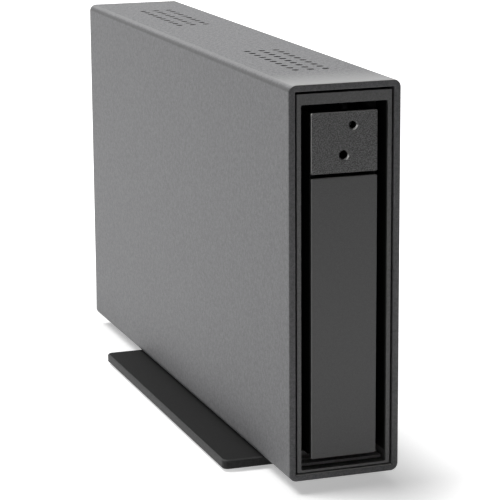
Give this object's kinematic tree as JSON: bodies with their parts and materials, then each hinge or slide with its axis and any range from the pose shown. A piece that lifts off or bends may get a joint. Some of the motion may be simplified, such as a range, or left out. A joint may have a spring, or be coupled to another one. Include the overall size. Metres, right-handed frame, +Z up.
{
  "type": "external hard drive",
  "caption": "Slim upright desktop hard drive enclosure in dark anodised aluminium, with a vented roof, a flat stand and a removable carrier that has a pull lever, sliding latch and lock.",
  "frame": {"origin": "centre of the bounding box's base: x = 0 is the middle plane, y = 0 is midway along the body, z = 0 is the surface that the feet stand on", "axes": "+Z up, -Y towards the front with the carrier, +Y along the body towards the ports, +X to the right seen from the front"},
  "size_m": [0.0574, 0.2104, 0.1208],
  "materials": {
    "body_aluminium": "bead-blasted, dark grey anodised",
    "bezel_black": "bead-blasted, dark grey anodised",
    "lever_aluminium": "fine blasted, dark grey anodised",
    "latch_black": "coarse spark-eroded grain",
    "nose_black": "satin moulded",
    "tray_aluminium": "plain mill finish",
    "cage_steel": "zinc plated sheet",
    "panel_black": "fine black powder coat",
    "stand_black": "fine dark grey powder coat",
    "foot_rubber": "matte",
    "circuit_board": "solder mask",
    "chip_black": "moulded",
    "connector_black": "moulded",
    "port_shell": "nickel plated",
    "rocker_black": "satin moulded",
    "drive_casting": "as cast and machined",
    "drive_lid_steel": "stamped, brushed",
    "zinc_steel": "bright zinc",
    "black_steel": "black oxide",
    "spring_steel": "drawn wire",
    "clear_acrylic": "frosted light pipe"
  },
  "bodies": {
    "enclosure": {"housing_shell": "body_aluminium", "front_bezel": "bezel_black", "inner_cage": "cage_steel", "rear_panel": "panel_black", "rear_panel_screws": "black_steel", "stand_plate": "stand_black", "stand_screws": "black_steel", "stand_feet": "foot_rubber", "bridge_board": "circuit_board", "bridge_chips": "chip_black", "board_standoffs": "zinc_steel", "board_screws": "zinc_steel", "board_link": "connector_black", "dc_jack": "connector_black", "usb_port": "port_shell", "switch_body": "connector_black", "backplane_board": "circuit_board", "sata_socket": "connector_black"},
    "carrier": {"carrier_tray": "tray_aluminium", "carrier_nose": "nose_black", "nose_screws": "black_steel", "drive_base": "drive_casting", "drive_lid": "drive_lid_steel", "drive_lid_screws": "zinc_steel", "drive_pcb": "circuit_board", "drive_chips": "chip_black", "drive_sata_plug": "connector_black", "drive_screws": "zinc_steel", "light_pipe": "clear_acrylic", "lever_pin": "zinc_steel", "latch_spring": "spring_steel"},
    "lever": {"lever_arm": "nose_black", "lever_cover": "lever_aluminium"},
    "latch": {"latch_plate": "latch_black"},
    "lock": {"lock_spindle": "black_steel"},
    "rocker": {"power_rocker": "rocker_black"}
  },
  "joints": [
    {"name": "carrier_slide", "type": "slide", "parent": "enclosure", "child": "carrier", "axis": [0, -1, 0], "range_m": [0, 0.165]},
    {"name": "lever_hinge", "type": "hinge", "parent": "carrier", "child": "lever", "pos_m": [0, -0.10107, 0.01276], "axis": [1, 0, 0], "range_deg": [0, 65]},
    {"name": "latch_slide", "type": "slide", "parent": "carrier", "child": "latch", "axis": [0, 0, 1], "range_m": [0, 0.0018], "stiffness_N_per_m": 400, "springref_m": -0.0006, "deforming": ["latch_spring"]},
    {"name": "lock_turn", "type": "hinge", "parent": "carrier", "child": "lock", "pos_m": [-0.0002, -0.10007, 0.09985], "axis": [0, 1, 0], "range_deg": [0, 90]},
    {"name": "rocker_tilt", "type": "hinge", "parent": "enclosure", "child": "rocker", "pos_m": [0, 0.10122, 0.07901], "axis": [-1, 0, 0], "range_deg": [0, 14]}
  ]
}
